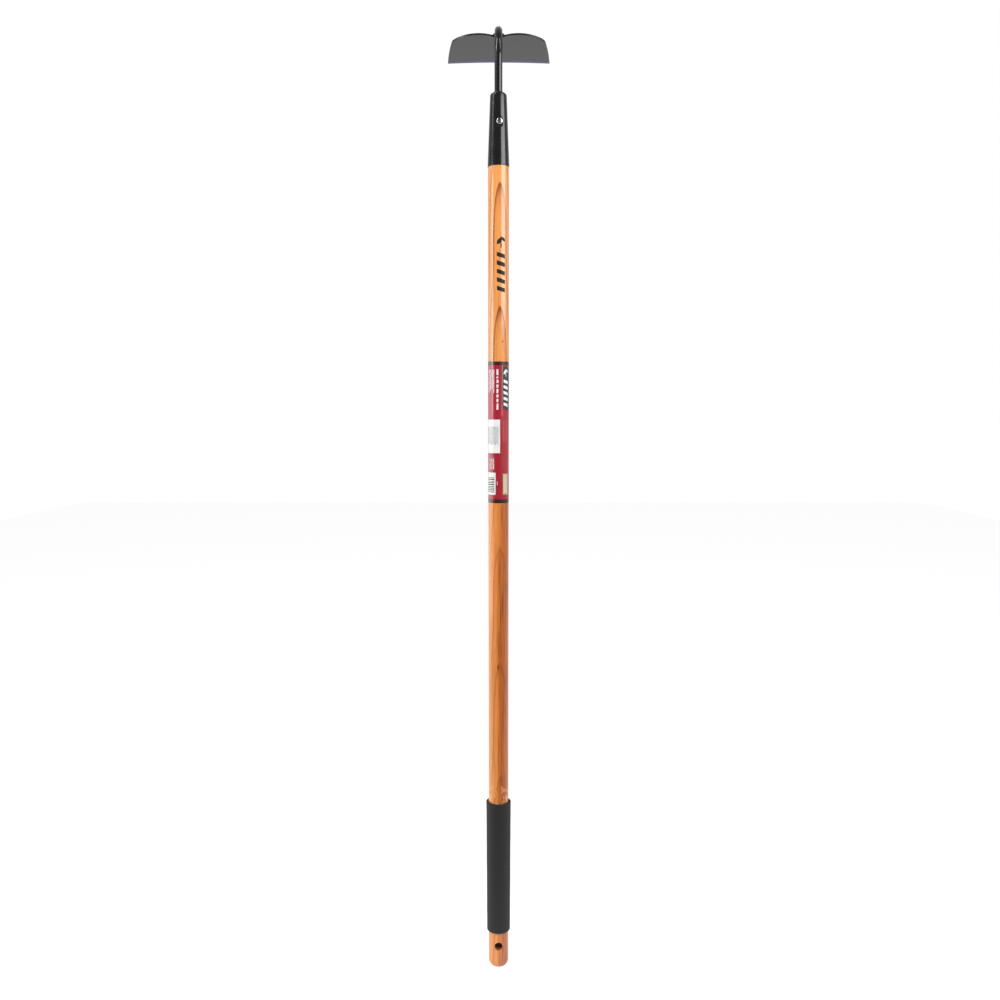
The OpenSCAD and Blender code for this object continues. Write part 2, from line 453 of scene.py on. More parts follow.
@dataclass(frozen=True)
class GroundBevel(Finish):
    """The blade's ground bevel under its thin coat: a band painted paler and bluer than the face as a
    painted reflection, with fine grinding lines across it.
    """

    # Painted reflection: lifted paler and bluer than the blade's face.
    colour: str = "3a3658"

    def look(self, tree: Tree) -> Look:
        """Adds grinding lines about a third of a millimetre apart, square to the edge.

        Args:
            tree: The material's tree.

        Returns:
            What feeds the shader.
        """
        lines = grain(tree, 0.34, (1, 0.03, 0.03), 2, 0.7)
        colour = layered(tree, linear(self.colour), (lines, linear(self.colour, 1.6)))
        return over_relief(tree, colour, lines, 0.02, 0.5)


@dataclass(frozen=True)
class ZincPlate(Finish):
    """Bright zinc on a pressed screw head: a pale metal with a slight haze."""

    colour: str = "d9dadb"
    hazed: str = "b9bbbf"

    def look(self, tree: Tree) -> Look:
        """Adds the haze and fine turning marks.

        Args:
            tree: The material's tree.

        Returns:
            What feeds the shader.
        """
        haze = grain(tree, 0.9)
        colour = layered(tree, linear(self.hazed), (haze, linear(self.colour)))
        return over_relief(tree, colour, haze, 0.01, 0.5)


@dataclass(frozen=True)
class ClosedCellFoam(Finish):
    """Skinned closed-cell foam: matte, nearly black, with fine cells and a faint cloudiness."""

    colour: str = "171718"
    # The near-black painted into the cells' hollows as shade.
    pit_shade: float = 0.008
    cell: float = 0.7

    def look(self, tree: Tree) -> Look:
        """Adds the cells, drawn about twice their real size or they wouldn't show, with painted shade in
        their hollows, and the uneven skin.

        Args:
            tree: The material's tree.

        Returns:
            What feeds the shader.
        """
        cells = add(tree, "TexVoronoi", {"Vector": place_mm(tree), "Scale": 1 / self.cell}, "Distance")
        skin = grain(tree, 6.0, detail=4, rough=0.6)
        # Painted shade: the cells' hollows are darkened where the relief sinks.
        shaded_pits = add(tree, "Math", (cells, 0.35), operation="MULTIPLY")
        colour = layered(tree, linear(self.colour), (skin, linear(self.colour, 1.45)),
                         (shaded_pits, grey(self.pit_shade)))
        relief = add(tree, "Math", (cells, -0.6, skin), operation="MULTIPLY_ADD")
        return over_relief(tree, colour, relief, 0.12, 0.6)


@dataclass(frozen=True)
class PrintedFilm(Finish):
    """Gloss polypropylene film printed in one ink: an even colour under a clear, slightly rippled face."""

    colour: str = "a8222f"

    def look(self, tree: Tree) -> Look:
        """Adds the print's slight unevenness and the film's ripple.

        Args:
            tree: The material's tree.

        Returns:
            What feeds the shader.
        """
        colour = layered(tree, linear(self.colour), (grain(tree, 7.0), linear(self.colour, 0.9)))
        return over_relief(tree, colour, grain(tree, 5.0, (1, 1, 0.3), 2), 0.03, 0.4)


@dataclass(frozen=True)
class ScreenInk(Finish):
    """Black screen-printed ink on wood: matte, with the wood's fibres thinning it here and there."""

    colour: str = "100b08"
    worn: str = "35220f"

    def look(self, tree: Tree) -> Look:
        """Thins the ink along the fibres.

        Args:
            tree: The material's tree.

        Returns:
            What feeds the shader.
        """
        fibre = grain(tree, 0.5, (1, 1, 0.05), rough=0.6)
        thin = add(tree, "MapRange", (fibre, 0.58, 0.75, 0.0, 0.7))
        return {"Base Color": layered(tree, linear(self.colour), (thin, linear(self.worn)))}


@dataclass(frozen=True)
class StudioPaper(Finish):
    """The pale studio floor, matte and lit from within a little so that it stays near white."""

    colour: str = "6e6e6e"
    glow: float = 0.93

    def look(self, tree: Tree) -> Look:
        """The paper's colour and glow, which need no nodes in the tree."""
        return {"Base Color": linear(self.colour), "Emission Color": grey(1.0),
                "Emission Strength": self.glow, "Specular IOR Level": 0.0}


class Inks(Enum):
    """The label's printing inks, each as sRGB hex."""

    RED = "9a1a2a"
    PALE_RED = "b8525a"
    DARK = "2e1713"
    CHARCOAL = "2b1e1b"
    WHITE = "dddcda"
    GREY = "8b8c8e"
    GOLD = "ab9e68"
    BLACK = "26282b"

    def finish(self) -> PrintedFilm:
        """The film printed in this ink."""
        return PrintedFilm("printed_film_" + self.name.lower(), roughness=0.36, coat=0.7,
                           coat_roughness=0.1, colour=self.value)


# ------------------------------------------------------------------------------------------------ meshes


def arc(centre: Point, radius: float, start: float, stop: float, steps: int) -> list[Point]:
    """Points along an arc.

    Args:
        centre: The arc's centre.
        radius: The arc's radius.
        start: Angle of the first point, in degrees.
        stop: Angle of the last point, in degrees.
        steps: How many steps the arc is cut into.

    Returns:
        The points, both ends included.
    """
    angles = [math.radians(start + (stop - start) * i / steps) for i in range(steps + 1)]
    return [(centre[0] + radius * math.cos(a), centre[1] + radius * math.sin(a)) for a in angles]


def spread(start: float, stop: float, step: float) -> list[float]:
    """Evenly spaced values from start to stop, no further apart than step, both ends included."""
    count = max(1, math.ceil(abs(stop - start) / step))
    return [start + (stop - start) * i / count for i in range(count + 1)]


def smoothstep(low: float, high: float, value: float) -> float:
    """0 below low, 1 above high, and a smooth rise between."""
    share = min(1.0, max(0.0, (value - low) / (high - low)))
    return share * share * (3 - 2 * share)


def place_in_scene(name: str, data: bpy.types.ID) -> bpy.types.Object:
    """Makes an object of a mesh, lamp or camera and links it to the scene.

    Args:
        name: The object's name.
        data: Its mesh, lamp or camera.

    Returns:
        The new object.
    """
    made = bpy.data.objects.new(name, data)
    bpy.context.scene.collection.objects.link(made)
    return made


def rounded(radius: float, height: float, ease: float, steps: int, top: bool = False) -> list[Point]:
    """Rounds the outer corner of an outline that will be turned.

    Args:
        radius: The corner's distance from the axis.
        height: The corner's height.
        ease: The rounding's radius.
        steps: How many steps the rounding is cut into.
        top: Whether the corner is a top one. A bottom one otherwise.

    Returns:
        The rounding's points, upwards.
    """
    if top:
        return arc((radius - ease, height - ease), ease, 0, 90, steps)
    return arc((radius - ease, height + ease), ease, -90, 0, steps)


def make_object(name: str, shape: bmesh.types.BMesh, sharp: float = 32.0) -> bpy.types.Object:
    """Turns a bmesh into a smooth-shaded object.

    Args:
        name: The object's name.
        shape: The bmesh, which is freed.
        sharp: Edges that turn by more than this many degrees stay sharp.

    Returns:
        The new object, linked to the scene.
    """
    bmesh.ops.recalc_face_normals(shape, faces=shape.faces)
    mesh = bpy.data.meshes.new(name)
    shape.to_mesh(mesh)
    shape.free()
    mesh.shade_smooth()
    mesh.set_sharp_from_angle(angle=math.radians(sharp))
    return place_in_scene(name, mesh)


def skin_rings(shape: bmesh.types.BMesh, rings: Sequence[Sequence[bmesh.types.BMVert]], loop: bool) -> None:
    """Joins rings of vertices with faces.

    Args:
        shape: The bmesh that holds the rings.
        rings: Rings in order. A ring of one vertex closes the shape there.
        loop: Whether the last ring joins the first.
    """
    pairs = list(zip(rings, rings[1:], strict=False))
    if loop:
        pairs.append((rings[-1], rings[0]))
    for low, high in pairs:
        count = max(len(low), len(high))
        for i in range(count):
            j = (i + 1) % count
            corners = [low[i % len(low)], low[j % len(low)], high[j % len(high)], high[i % len(high)]]
            shape.faces.new(list(dict.fromkeys(corners)))


def lathe(name: str, outline: Sequence[Point], segments: int = 96, loop: bool = False,
          shift: Callable[[Vector], Vector] | None = None, sharp: float = 32.0) -> bpy.types.Object:
    """Turns an outline round the Z axis.

    Args:
        name: The object's name.
        outline: Points of radius and height.
        segments: How many sides the turned shape has.
        loop: Whether the outline closes on itself.
        shift: Moves each point after turning, for a dimple or a soft surface.
        sharp: The sharp-edge angle in degrees.

    Returns:
        The turned object.
    """
    shape = bmesh.new()
    rings = []
    for radius, height in outline:
        count = 1 if radius <= 0 else segments
        turns = [math.tau * i / count for i in range(count)]
        places = [Vector((radius * math.sin(t), -radius * math.cos(t), height)) for t in turns]
        rings.append([shape.verts.new(shift(p) if shift else p) for p in places])
    skin_rings(shape, rings, loop)
    return make_object(name, shape, sharp)


def flat_polygon(outline: Sequence[Point]) -> bmesh.types.BMesh:
    """Makes one flat face in the XY plane.

    Args:
        outline: The face's corners, in order.

    Returns:
        A bmesh that holds the face.
    """
    shape = bmesh.new()
    shape.faces.new([shape.verts.new((x, y, 0.0)) for x, y in outline])
    return shape


def slice_at(shape: bmesh.types.BMesh, axis: int, places: Sequence[float]) -> None:
    """Cuts a bmesh's faces along planes square to an axis.

    Args:
        shape: The bmesh.
        axis: 0, 1 or 2, for X, Y or Z.
        places: Where along the axis the planes stand.
    """
    normal = Vector((axis == 0, axis == 1, axis == 2))
    for place in places:
        parts = [*shape.verts, *shape.edges, *shape.faces]
        bmesh.ops.bisect_plane(shape, geom=parts, plane_co=normal * place, plane_no=normal)


def cut_away(target: bpy.types.Object, cutter: bpy.types.Object, sharp: float = 32.0) -> None:
    """Cuts one solid out of another and removes the cutter.

    Args:
        target: The solid that is cut.
        cutter: The solid that is taken away.
        sharp: The sharp-edge angle in degrees.
    """
    modifier = target.modifiers.new("cut", "BOOLEAN")
    modifier.object = cutter
    modifier.solver = "EXACT"
    bpy.context.view_layer.update()
    graph = bpy.context.evaluated_depsgraph_get()
    cut = bpy.data.meshes.new_from_object(target.evaluated_get(graph))
    target.modifiers.remove(modifier)
    target.data = cut
    bpy.data.objects.remove(cutter)
    cut.shade_smooth()
    cut.set_sharp_from_angle(angle=math.radians(sharp))


def soften(target: bpy.types.Object, width: float, segments: int = 2, angle: float = 35.0) -> None:
    """Rounds a piece's sharp edges.

    Args:
        target: The piece.
        width: The rounding's width, in metres.
        segments: How many steps the rounding has.
        angle: Edges that turn by more than this many degrees are rounded.
    """
    modifier = target.modifiers.new("soften", "BEVEL")
    modifier.width = width
    modifier.segments = segments
    modifier.limit_method = "ANGLE"
    modifier.angle_limit = math.radians(angle)
    modifier.harden_normals = True


def dress(piece: bpy.types.Object, finishes: Sequence[Finish], slot: str | None, *nodes: str) -> None:
    """Gives a piece its finishes, joins it to the model and reports it.

    Args:
        piece: The piece.
        finishes: One finish for each of the piece's material slots.
        slot: The record's material slot, or None for what has none. It is not used.
        nodes: The CAD nodes that the piece stands for.
    """
    for finish in finishes:
        piece.data.materials.append(finish.build())
    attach(piece, BODY)
    if nodes:
        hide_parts(*nodes)
    stands_for = ", ".join(nodes) or "nothing"
    LOG.info("%s: %d faces, stands for %s", piece.name, len(piece.data.polygons), stands_for)


# ---------------------------------------------------------------------------------------------- the pole


@dataclass
class Pole:
    """The turned wood pole, with its rounded butt, hang hole and tapered tenon."""

    butt_round: float = 10.5 * MM
    hole_ease: float = 0.9 * MM
    tenon_root: float = 13.9 * MM
    tenon_tip: float = 10.7 * MM
    segments: int = 128
    finish: Finish = LacqueredAsh(
        "lacquered_ash", roughness=0.45, coat=0.75, coat_roughness=0.1,
        flecks=(Fleck(6.2, 927, 2.0, 3.4), Fleck(-0.8, 441, 2.4, 8.5)))
    bore_finish: Finish = DrilledWood("drilled_wood", roughness=0.85)

    def __post_init__(self) -> None:
        """Reads the pole's ends and radius from the model."""
        self.low, self.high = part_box("pole")
        self.radius = self.high.x
        self.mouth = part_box("socket")[0].z
        self.hole_radius = frame["record"]["mounts"][0]["dims"]["r_mm"] * MM

    def outline(self) -> list[Point]:
        """Draws the pole's outline.

        Returns:
            Points of radius and height, from the butt up to the tenon's tip.
        """
        butt = rounded(self.radius, self.low.z, self.butt_round, 12)
        hole = spread(self.low.z + self.butt_round + 2 * MM, 3 * self.hole_radius, 4 * MM)
        length = spread(3.5 * self.hole_radius, self.mouth - 0.2 * MM, 24 * MM)
        straight = [(self.radius, z) for z in [*hole, *length]]
        return [(0, self.low.z), *butt, *straight, (self.tenon_root, self.mouth),
                (self.tenon_tip, self.high.z), (0, self.high.z)]

    def hole_cutter(self) -> bpy.types.Object:
        """Makes what drills the hang hole and eases its edges.

        Returns:
            A solid along Y that flares at the pole's two faces.
        """
        inner, outer = self.radius * 0.86, self.radius
        wide = self.hole_radius + self.hole_ease
        flare = [(self.hole_radius + self.hole_ease * t**2, inner + (outer - inner) * t)
                 for t in spread(0, 1, 0.2)]
        far = (wide, outer * 1.4)
        half = [*flare, far, (0, far[1])]
        outline = [(r, -y) for r, y in reversed(half)] + half
        cutter = lathe("hang_hole_cutter", outline, 64)
        cutter.data.transform(Matrix.Rotation(math.radians(90), 4, "X"))
        return cutter

    def build(self) -> None:
        """Turns the pole, drills it and lacquers it."""
        pole = lathe("turned_pole", self.outline(), self.segments)
        cut_away(pole, self.hole_cutter())
        for face in pole.data.polygons:
            x, y, z = face.center
            inside = math.hypot(x, y) < self.radius - 0.5 * MM
            face.material_index = int(inside and abs(z) < self.hole_radius + self.hole_ease)
        dress(pole, [self.finish, self.bore_finish], "lacquered_wood", "pole")


# ------------------------------------------------------------------------------------------- the printing


@dataclass(frozen=True)
class Bar:
    """A printed bar or block, in millimetres down from the print's top and across its centre line."""

    top: float
    bottom: float
    left: float
    right: float
    ink: Inks = Inks.WHITE
    slant: float = 0.0

    def outline(self) -> list[Point]:
        """The bar's corners as across and down."""
        return [(self.left, self.top), (self.right, self.top + self.slant),
                (self.right, self.bottom + self.slant), (self.left, self.bottom)]


@dataclass(frozen=True)
class Leaf:
    """A pointed leaf whose tips lie on the diagonal, the mark's plain emblem."""

    centre: Point
    length: float
    lean: float
    ink: Inks = Inks.WHITE

    def outline(self) -> list[Point]:
        """Draws two arcs that meet at the leaf's tips.

        Returns:
            Points across and down.
        """
        bow = 0.62 * self.length
        rise = math.sqrt(bow**2 - (self.length / 2) ** 2)
        half = math.degrees(math.asin(self.length / 2 / bow))
        one = arc((0, -rise), bow, 90 - half, 90 + half, 10)
        other = arc((0, rise), bow, 270 - half, 270 + half, 10)
        turn = math.radians(self.lean)
        cos, sin = math.cos(turn), math.sin(turn)
        return [(self.centre[0] + x * cos - y * sin, self.centre[1] + x * sin + y * cos)
                for x, y in [*one[:-1], *other[:-1]]]


def wrap(name: str, prints: Sequence[Bar | Leaf], radius: float, top: float, centre: float = 0.0,
         step: float = 0.8) -> bpy.types.Object:
    """Lays flat prints on a cylinder round the Z axis.

    Args:
        name: The object's name.
        prints: What is printed, in millimetres.
        radius: The cylinder's radius, in metres.
        top: Height of the print's top, in metres.
        centre: How far the print's centre line lies round from the face, in millimetres.
        step: The widest strip left flat, in millimetres.

    Returns:
        One object with a material slot for each ink, in the order that the inks first come.
    """
    inks = list(dict.fromkeys(p.ink for p in prints))
    whole = bmesh.new()
    for item in prints:
        outline = item.outline()
        part = flat_polygon(outline)
        across = [x for x, _ in outline]
        slice_at(part, 0, spread(min(across), max(across), step)[1:-1])
        corners = {}
        for vert in part.verts:
            turn = (vert.co.x + centre) * MM / radius
            place = (radius * math.sin(turn), -radius * math.cos(turn), top - vert.co.y * MM)
            corners[vert] = whole.verts.new(place)
        for face in part.faces:
            made = whole.faces.new([corners[v] for v in face.verts])
            made.material_index = inks.index(item.ink)
        part.free()
    for face in whole.faces:
        out = face.calc_center_median()
        face.normal_update()
        if face.normal.dot(Vector((out.x, out.y, 0))) < 0:
            face.normal_flip()
    mesh = bpy.data.meshes.new(name)
    whole.to_mesh(mesh)
    whole.free()
    mesh.shade_smooth()
    return place_in_scene(name, mesh)


def emblem(top: float, middle: float, size: float, ink: Inks) -> list[Bar | Leaf]:
    """The plain mark: two leaves on a stalk and five leaning bars, reading down the pole.

    Args:
        top: Where the mark starts, in millimetres down.
        middle: The mark's middle across, in millimetres.
        size: The bars' length across the pole, in millimetres.
        ink: The mark's ink.

    Returns:
        The mark's shapes.
    """
    leaves = [Leaf((middle - 0.2 * size, top + 0.75 * size), 0.95 * size, 125, ink),
              Leaf((middle + 0.28 * size, top + 0.55 * size), 0.7 * size, 40, ink)]
    stalk = Bar(top + 0.2 * size, top + 1.55 * size, middle - 0.06 * size, middle + 0.06 * size, ink)
    start, pitch, width, lean = top + 2.0 * size, 0.98 * size, 0.5 * size, 0.3 * size
    bars = [Bar(start + i * pitch, start + i * pitch + width, middle - size / 2, middle + size / 2,
                ink, lean) for i in range(5)]
    return [*leaves, stalk, *bars]


@dataclass
class PoleMark:
    """The generic black mark screen-printed on the wood under the socket."""

    top: float = 1081 * MM
    centre: float = 3.9
    size: float = 12.4
    lift: float = 0.05 * MM
    finish: Finish = ScreenInk("screen_ink", roughness=0.7, coat=0.1, coat_roughness=0.3)

    def build(self) -> None:
        """Prints the mark on the pole's face."""
        shapes = emblem(0.0, 0.0, self.size, Inks.BLACK)
        mark = wrap("pole_mark", shapes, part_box("pole")[1].x + self.lift, self.top, self.centre)
        dress(mark, [self.finish], None)


@dataclass
class Label:
    """The printed film wrapped round the pole, with generic blocks in place of its wording."""

    segments: int = 128
    inner_gap: float = 0.02 * MM
    lift: float = 0.04 * MM
    end_band: float = 5.5

    def __post_init__(self) -> None:
        """Reads the label's place from the model."""
        self.low, self.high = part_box("label")
        self.radius = self.high.x
        self.length = (self.high.z - self.low.z) / MM
        self.half_turn = math.pi * self.radius / MM

    def sleeve(self) -> None:
        """Makes the film itself."""
        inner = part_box("pole")[1].x + self.inner_gap
        heights = spread(self.low.z, self.high.z, 12 * MM)
        outline = [(self.radius, z) for z in heights] + [(inner, z) for z in reversed(heights)]
        film = lathe("label_film", outline, self.segments, loop=True)
        dress(film, [Inks.RED.finish()], "printed_label", "label")

    def words(self, top: float, across: float, height: float, lengths: Sequence[float],
              ink: Inks = Inks.WHITE) -> list[Bar]:
        """A line of blocks that stands for wording.

        Args:
            top: Where the line starts, in millimetres down.
            across: The line's middle across.
            height: The blocks' height across the pole.
            lengths: Each block's length down the pole.
            ink: The line's ink.

        Returns:
            The line's blocks.
        """
        blocks = []
        for length in lengths:
            blocks.append(Bar(top, top + length, across - height / 2, across + height / 2, ink))
            top += length + 0.7 * height
        return blocks

    def heading(self) -> list[Bar | Leaf]:
        """Lays out the dark band, its keyline and flash, the white mark and the title.

        Returns:
            The band, keyline and flash, and then what is printed over them.
        """
        band = Bar(self.end_band, 69.0, 6.4, 24.0, Inks.CHARCOAL, 6.0)
        keyline = Bar(self.end_band, 60.0, 5.5, 6.2, Inks.GREY)
        flash = Bar(60.0, 78.0, 4.4, 6.2, Inks.PALE_RED, 4.0)
        title = self.words(11.6, -1.5, 2.8, (8.5, 2.6, 5.0, 4.6, 6.2, 4.4, 5.0, 9.0))
        return [band, keyline, flash, *emblem(9.0, 12.2, 8.6, Inks.WHITE), *title]

    def small_print(self) -> list[Bar]:
        """Lays out the fine lines beside the panels.

        Returns:
            The lines' blocks.
        """
        left = [(11.6, -7.2, 1.2, (9, 4, 12, 7)), (11.6, -10.0, 1.2, (12, 6, 8)),
                (11.6, -13.6, 1.2, (6, 14, 9)), (11.6, -17.0, 1.2, (10, 5, 7, 9))]
        right = [(143.0, -7.6, 1.1, (6, 9)), (143.0, -10.4, 1.1, (10, 5)),
                 (143.0, -14.4, 1.1, (4, 11)), (176.5, -1.9, 0.9, (2.2, 2.6))]
        faint = [(86.0, 8.0 + 2.6 * i, 0.7, (9, 6, 11, 5)) for i in range(3)]
        lines = [block for line in (*left, *right) for block in self.words(*line)]
        return lines + [block for line in faint for block in self.words(*line, Inks.PALE_RED)]

    def panels(self) -> tuple[list[Bar], list[Bar]]:
        """Lays out the white text panel, the bar code and the gold panel.

        Returns:
            The panels themselves, and what is printed over them.
        """
        white = Bar(85.2, 134.7, -24.0, 2.4)
        lengths = ((8, 5, 13), (11, 7, 6), (5, 9, 12))
        rows = [block for i in range(13)
                for block in self.words(95.5, -0.6 - 1.75 * i, 0.8, lengths[i % 3], Inks.GREY)]
        code = Bar(163.8, 196.6, -24.0, -4.4)
        bars, place = [], 170.6
        # The bars are drawn about twice their real width, or they wouldn't show.
        for i in range(9):
            width = (1.0, 1.9, 1.3, 1.6)[(i * i + i // 3) % 4]
            bars.append(Bar(place, place + width, -21.0, -6.4, Inks.BLACK))
            place += width + (1.2, 0.9, 1.5)[(i * 2) % 3]
        gold = Bar(165.3, 196.6, 6.8, 17.5, Inks.GOLD)
        inset = [Bar(167.2, 194.8, 8.2 + 2.2 * i, 9.1 + 2.2 * i, Inks.PALE_RED if i == 3 else Inks.WHITE)
                 for i in range(4)]
        return [white, code, gold], [*rows, *bars, *inset]

    def back(self) -> list[Bar]:
        """Lays out the side away from the face.

        Returns:
            A column of fine print and a pale strip by the seam.
        """
        lengths = (12, 7, 18, 9, 14, 11, 16, 8)
        column = [block for i in range(16)
                  for block in self.words(20.0 + (i % 2) * 1.5, 30.0 + 1.0 * i, 0.55, lengths)]
        edge = -self.half_turn
        seam = Bar(self.end_band, self.length - self.end_band, edge, 1.6 + edge, Inks.PALE_RED)
        return [*column, seam]

    def build(self) -> None:
        """Makes the film and lays its print on it."""
        self.sleeve()
        edge = self.half_turn
        bands = [Bar(0.15, self.end_band, -edge, edge, Inks.DARK),
                 Bar(self.length - self.end_band, self.length - 0.15, -edge, edge, Inks.DARK)]
        heading = self.heading()
        panels, overprint = self.panels()
        under = [*bands, *heading[:3], *panels, *self.back()]
        over = [*heading[3:], *self.small_print(), *overprint]
        layers = (("label_ground", under), ("label_print", over))
        for number, (name, prints) in enumerate(layers, start=1):
            layer = wrap(name, prints, self.radius + number * self.lift, self.high.z)
            inks = dict.fromkeys(p.ink for p in prints)
            dress(layer, [ink.finish() for ink in inks], "printed_label")


# ----------------------------------------------------------------------------------------------- the grip


@dataclass
class Grip:
    """The foam sleeve stretched over the pole near its butt."""

    low_radius: float = 17.75 * MM
    high_radius: float = 18.8 * MM
    lip: float = 0.2 * MM
    lip_length: float = 9 * MM
    low_round: float = 1.7 * MM
    high_round: float = 1.3 * MM
    unevenness: float = 0.16 * MM
    segments: int = 128
    finish: Finish = ClosedCellFoam("closed_cell_foam", roughness=0.72)

    def __post_init__(self) -> None:
        """Reads the grip's place from the model."""
        self.low, self.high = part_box("foam_grip")
        self.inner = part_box("pole")[1].x + 0.02 * MM

    def outer_radius(self, height: float) -> float:
        """Tapers the sleeve and flares its upper lip.

        Args:
            height: A height on the sleeve.

        Returns:
            The outer radius there.
        """
        share = (height - self.low.z) / (self.high.z - self.low.z)
        straight = self.low_radius + (self.high_radius - self.low_radius) * share
        return straight + self.lip * smoothstep(self.high.z - self.lip_length, self.high.z, height)

    def outline(self) -> list[Point]:
        """Draws the sleeve's outline.

        Returns:
            Points of radius and height, closed round the foam.
        """
        bottom = rounded(self.low_radius, self.low.z, self.low_round, 8)
        start, stop = self.low.z + self.low_round + MM, self.high.z - self.high_round - MM
        side = [(self.outer_radius(z), z) for z in spread(start, stop, 2 * MM)]
        top = rounded(self.outer_radius(self.high.z), self.high.z, self.high_round, 6, True)
        inside = [(self.inner, z) for z in (self.high.z - MM, self.low.z + MM)]
        return [(self.inner + 0.5 * MM, self.low.z), *bottom, *side, *top,
                (self.inner + 0.5 * MM, self.high.z), *inside]

    def uneven(self, place: Vector) -> Vector:
        """Moves the outer skin in or out a little, as soft foam does.

        Args:
            place: A point of the sleeve.

        Returns:
            Where the point goes.
        """
        out = Vector((place.x, place.y, 0))
        if out.length < self.low_radius - self.low_round:
            return place
        slow = noise.noise(Vector((place.x, place.y, place.z * 0.6)) / (14 * MM))
        fine = noise.noise(place / (4 * MM))
        return place + out.normalized() * self.unevenness * (slow + 0.3 * fine)

    def build(self) -> None:
        """Moulds the sleeve."""
        sleeve = lathe("foam_sleeve", self.outline(), self.segments, loop=True, shift=self.uneven,
                       sharp=60)
        dress(sleeve, [self.finish], "grip_foam", "foam_grip")


# ----------------------------------------------------------------------------------------------- the head


BLACK_ENAMEL = CoatedSteel("black_enamel", roughness=0.2)
NECK_ENAMEL = CoatedSteel("neck_enamel", roughness=0.16, colour="121311")
BLADE_ENAMEL = CoatedSteel("blade_enamel", roughness=0.3, colour="363636", peel=2.4)
# Painted shade: the blade's enamel made darker on the plate's edges.
SHADED_RIM_ENAMEL = CoatedSteel("rim_enamel_shaded", roughness=0.4, colour="0d0d0e")
BLADE_BEVEL = GroundBevel("ground_bevel", roughness=0.45)
WELD_ENAMEL = CoatedSteel("weld_enamel", roughness=0.3, colour="10100e")


@dataclass
class HoeSocket:
    """The tapered steel socket with its rim, rounded nose and the dimple round its screw."""

    rim_radius: float = 15.8 * MM
    low_radius: float = 15.45 * MM
    high_radius: float = 12.1 * MM
    flare: float = 9 * MM
    nose_round: float = 4 * MM
    wall: float = 1.8 * MM
    nose: float = 10 * MM
    bore: float = 5.78 * MM
    dimple_flat: float = 5.0 * MM
    dimple_reach: float = 8.6 * MM
    dimple_depth: float = 0.95 * MM
    segments: int = 160
    finish: Finish = BLACK_ENAMEL

    def __post_init__(self) -> None:
        """Reads the socket's ends and the screw's place from the model."""
        self.low, self.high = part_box("socket")
        low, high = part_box("socket_screw")
        self.screw_height = (low.z + high.z) / 2
        self.screw_turn = Screw.turn

    def radius_at(self, height: float) -> float:
        """Outer radius of the straight taper at a height."""
        start, stop = self.low.z + self.flare, self.high.z - self.nose_round
        return self.low_radius + (self.high_radius - self.low_radius) * (height - start) / (stop - start)

    def outline(self) -> list[Point]:
        """Draws the socket's outline.

        Returns:
            Points of radius and height: the outside from the rim up, then the bore and the cavity.
        """
        z0, z1 = self.low.z, self.high.z
        ease, proud = 0.4 * MM, self.rim_radius - self.radius_at(z0)
        rim = [(self.rim_radius - ease - 0.1 * MM, z0), *rounded(self.rim_radius, z0, ease, 4)]
        flare = [(self.radius_at(z) + proud * (1 - smoothstep(z0, z0 + self.flare, z)), z)
                 for z in spread(z0 + 1.2 * MM, z0 + self.flare, MM)]
        dimple = self.screw_height + self.dimple_reach
        low = spread(z0 + self.flare + 4 * MM, self.screw_height - self.dimple_reach - 2 * MM, 5 * MM)
        middle = spread(self.screw_height - self.dimple_reach, dimple, 0.6 * MM)
        upper = spread(dimple + 2 * MM, z1 - self.nose_round - 3 * MM, 5 * MM)
        side = [(self.radius_at(z), z) for z in (*low, *middle, *upper)]
        nose = rounded(self.high_radius, z1, self.nose_round, 10, True)
        cavity, mouth = z1 - self.nose, self.radius_at(z0) - self.wall
        inside = [(self.bore, z1), (self.bore, cavity), (self.radius_at(cavity) - self.wall, cavity),
                  (mouth, z0 + 0.2 * MM), (mouth + 0.3 * MM, z0)]
        return [*rim, *flare, *side, *nose, *inside]

    def dimpled(self, place: Vector) -> Vector:
        """Presses the outer wall in round the screw.

        Args:
            place: A point of the socket.

        Returns:
            Where the point goes.
        """
        turned = Matrix.Rotation(-self.screw_turn, 3, "Z") @ place
        radius = math.hypot(place.x, place.y)
        if turned.y > 0 or radius < self.radius_at(place.z) - 0.5 * self.wall:
            return place
        off = math.hypot(turned.x, place.z - self.screw_height)
        if off > self.dimple_reach:
            return place
        floor = -(self.radius_at(self.screw_height) - self.dimple_depth)
        share = 1 - smoothstep(self.dimple_flat * 0.8, self.dimple_reach, off)
        turned.y += (max(turned.y, floor) - turned.y) * share
        return Matrix.Rotation(self.screw_turn, 3, "Z") @ turned

    def build(self) -> None:
        """Draws the socket and coats it."""
        socket = lathe("tapered_socket", self.outline(), self.segments, loop=True, shift=self.dimpled,
                       sharp=40)
        dress(socket, [self.finish], "socket_enamel", "socket")


